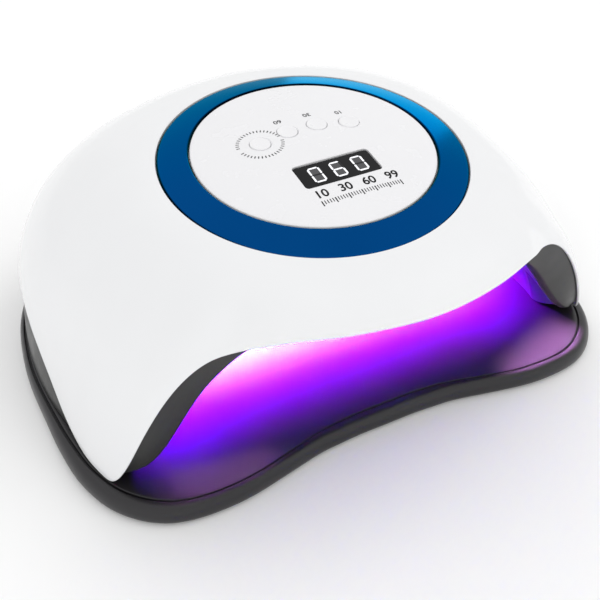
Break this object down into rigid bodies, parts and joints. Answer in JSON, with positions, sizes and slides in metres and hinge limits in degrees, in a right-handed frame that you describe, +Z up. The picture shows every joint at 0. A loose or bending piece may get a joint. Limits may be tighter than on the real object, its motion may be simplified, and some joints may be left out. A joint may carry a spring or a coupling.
{
  "type": "nail lamp",
  "caption": "Domed UV and LED nail lamp with an arched hand opening, round control panel, display and buttons, lifting off a magnetic base tray.",
  "frame": {"origin": "bottom centre of the whole lamp's bounding box, on the surface it stands on", "axes": "+Z up, +X across the lamp's width, -Y out of the hand opening; a hand goes in along +Y"},
  "size_m": [0.2524, 0.225, 0.1063],
  "materials": {
    "tray_plastic": "satin moulded charcoal",
    "frame_plastic": "satin moulded charcoal",
    "shell_white": "glossy white",
    "panel_white": "glossy white",
    "ring_blue": "metallised glossy blue",
    "button_white": "satin white",
    "foot_rubber": "matt black",
    "magnet_plated": "nickel plated",
    "screw_steel": "zinc plated",
    "window_smoked": "glossy smoked black",
    "display_black": "matt black with white segments",
    "component_black": "matt black",
    "board_green": "solder mask green",
    "board_aluminium": "white coated aluminium board",
    "lens_clear": "clear lens, lit violet",
    "liner_silver": "bright reflective",
    "sensor_dark": "dark infrared window",
    "jack_black": "matt black",
    "cable_black": "matt black sheath",
    "capacitor_sleeve": "dark blue sleeve"
  },
  "bodies": {
    "tray": {"base_tray": "tray_plastic", "rubber_foot_1": "foot_rubber", "rubber_foot_2": "foot_rubber", "rubber_foot_3": "foot_rubber", "rubber_foot_4": "foot_rubber", "tray_magnet_1": "magnet_plated", "tray_magnet_2": "magnet_plated", "tray_magnet_3": "magnet_plated", "tray_magnet_4": "magnet_plated"},
    "housing": {"accent_ring": "ring_blue", "board_screw_1": "screw_steel", "board_screw_2": "screw_steel", "board_screw_3": "screw_steel", "board_screw_4": "screw_steel", "control_board": "board_green", "control_panel": "panel_white", "dc_jack": "jack_black", "display_module": "display_black", "display_window": "window_smoked", "driver_chip": "component_black", "housing_magnet_1": "magnet_plated", "housing_magnet_2": "magnet_plated", "housing_magnet_3": "magnet_plated", "housing_magnet_4": "magnet_plated", "housing_screw_1": "screw_steel", "housing_screw_2": "screw_steel", "housing_screw_3": "screw_steel", "housing_screw_4": "screw_steel", "jack_cable": "cable_black", "jack_nut": "jack_black", "led_board_back": "board_aluminium", "led_board_ceiling": "board_aluminium", "led_board_left": "board_aluminium", "led_board_right": "board_aluminium", "led_cable": "cable_black", "lens_strip_back": "lens_clear", "lens_strip_ceiling": "lens_clear", "lens_strip_left": "lens_clear", "lens_strip_right": "lens_clear", "lower_frame": "frame_plastic", "power_capacitor": "capacitor_sleeve", "reflector_liner": "liner_silver", "sensor_emitter": "sensor_dark", "sensor_receiver": "sensor_dark", "switch_10s": "component_black", "switch_30s": "component_black", "switch_60s": "component_black", "switch_low_heat": "component_black", "top_shell": "shell_white"},
    "key_10s": {"button_10s": "button_white"},
    "key_30s": {"button_30s": "button_white"},
    "key_60s": {"button_60s": "button_white"},
    "key_low_heat": {"button_low_heat": "button_white"}
  },
  "joints": [
    {"name": "housing_lift", "type": "slide", "parent": "tray", "child": "housing", "axis": [0, 0, 1], "range_m": [0, 0.12]},
    {"name": "press_10s", "type": "slide", "parent": "housing", "child": "key_10s", "axis": [0, 0.0976, -0.9952], "range_m": [0, 0.0008], "stiffness_N_per_m": 900, "springref_m": -0.0006},
    {"name": "press_30s", "type": "slide", "parent": "housing", "child": "key_30s", "axis": [0, 0.0976, -0.9952], "range_m": [0, 0.0008], "stiffness_N_per_m": 900, "springref_m": -0.0006},
    {"name": "press_60s", "type": "slide", "parent": "housing", "child": "key_60s", "axis": [0, 0.0976, -0.9952], "range_m": [0, 0.0008], "stiffness_N_per_m": 900, "springref_m": -0.0006},
    {"name": "press_low_heat", "type": "slide", "parent": "housing", "child": "key_low_heat", "axis": [0, 0.0976, -0.9952], "range_m": [0, 0.0008], "stiffness_N_per_m": 900, "springref_m": -0.0006}
  ]
}
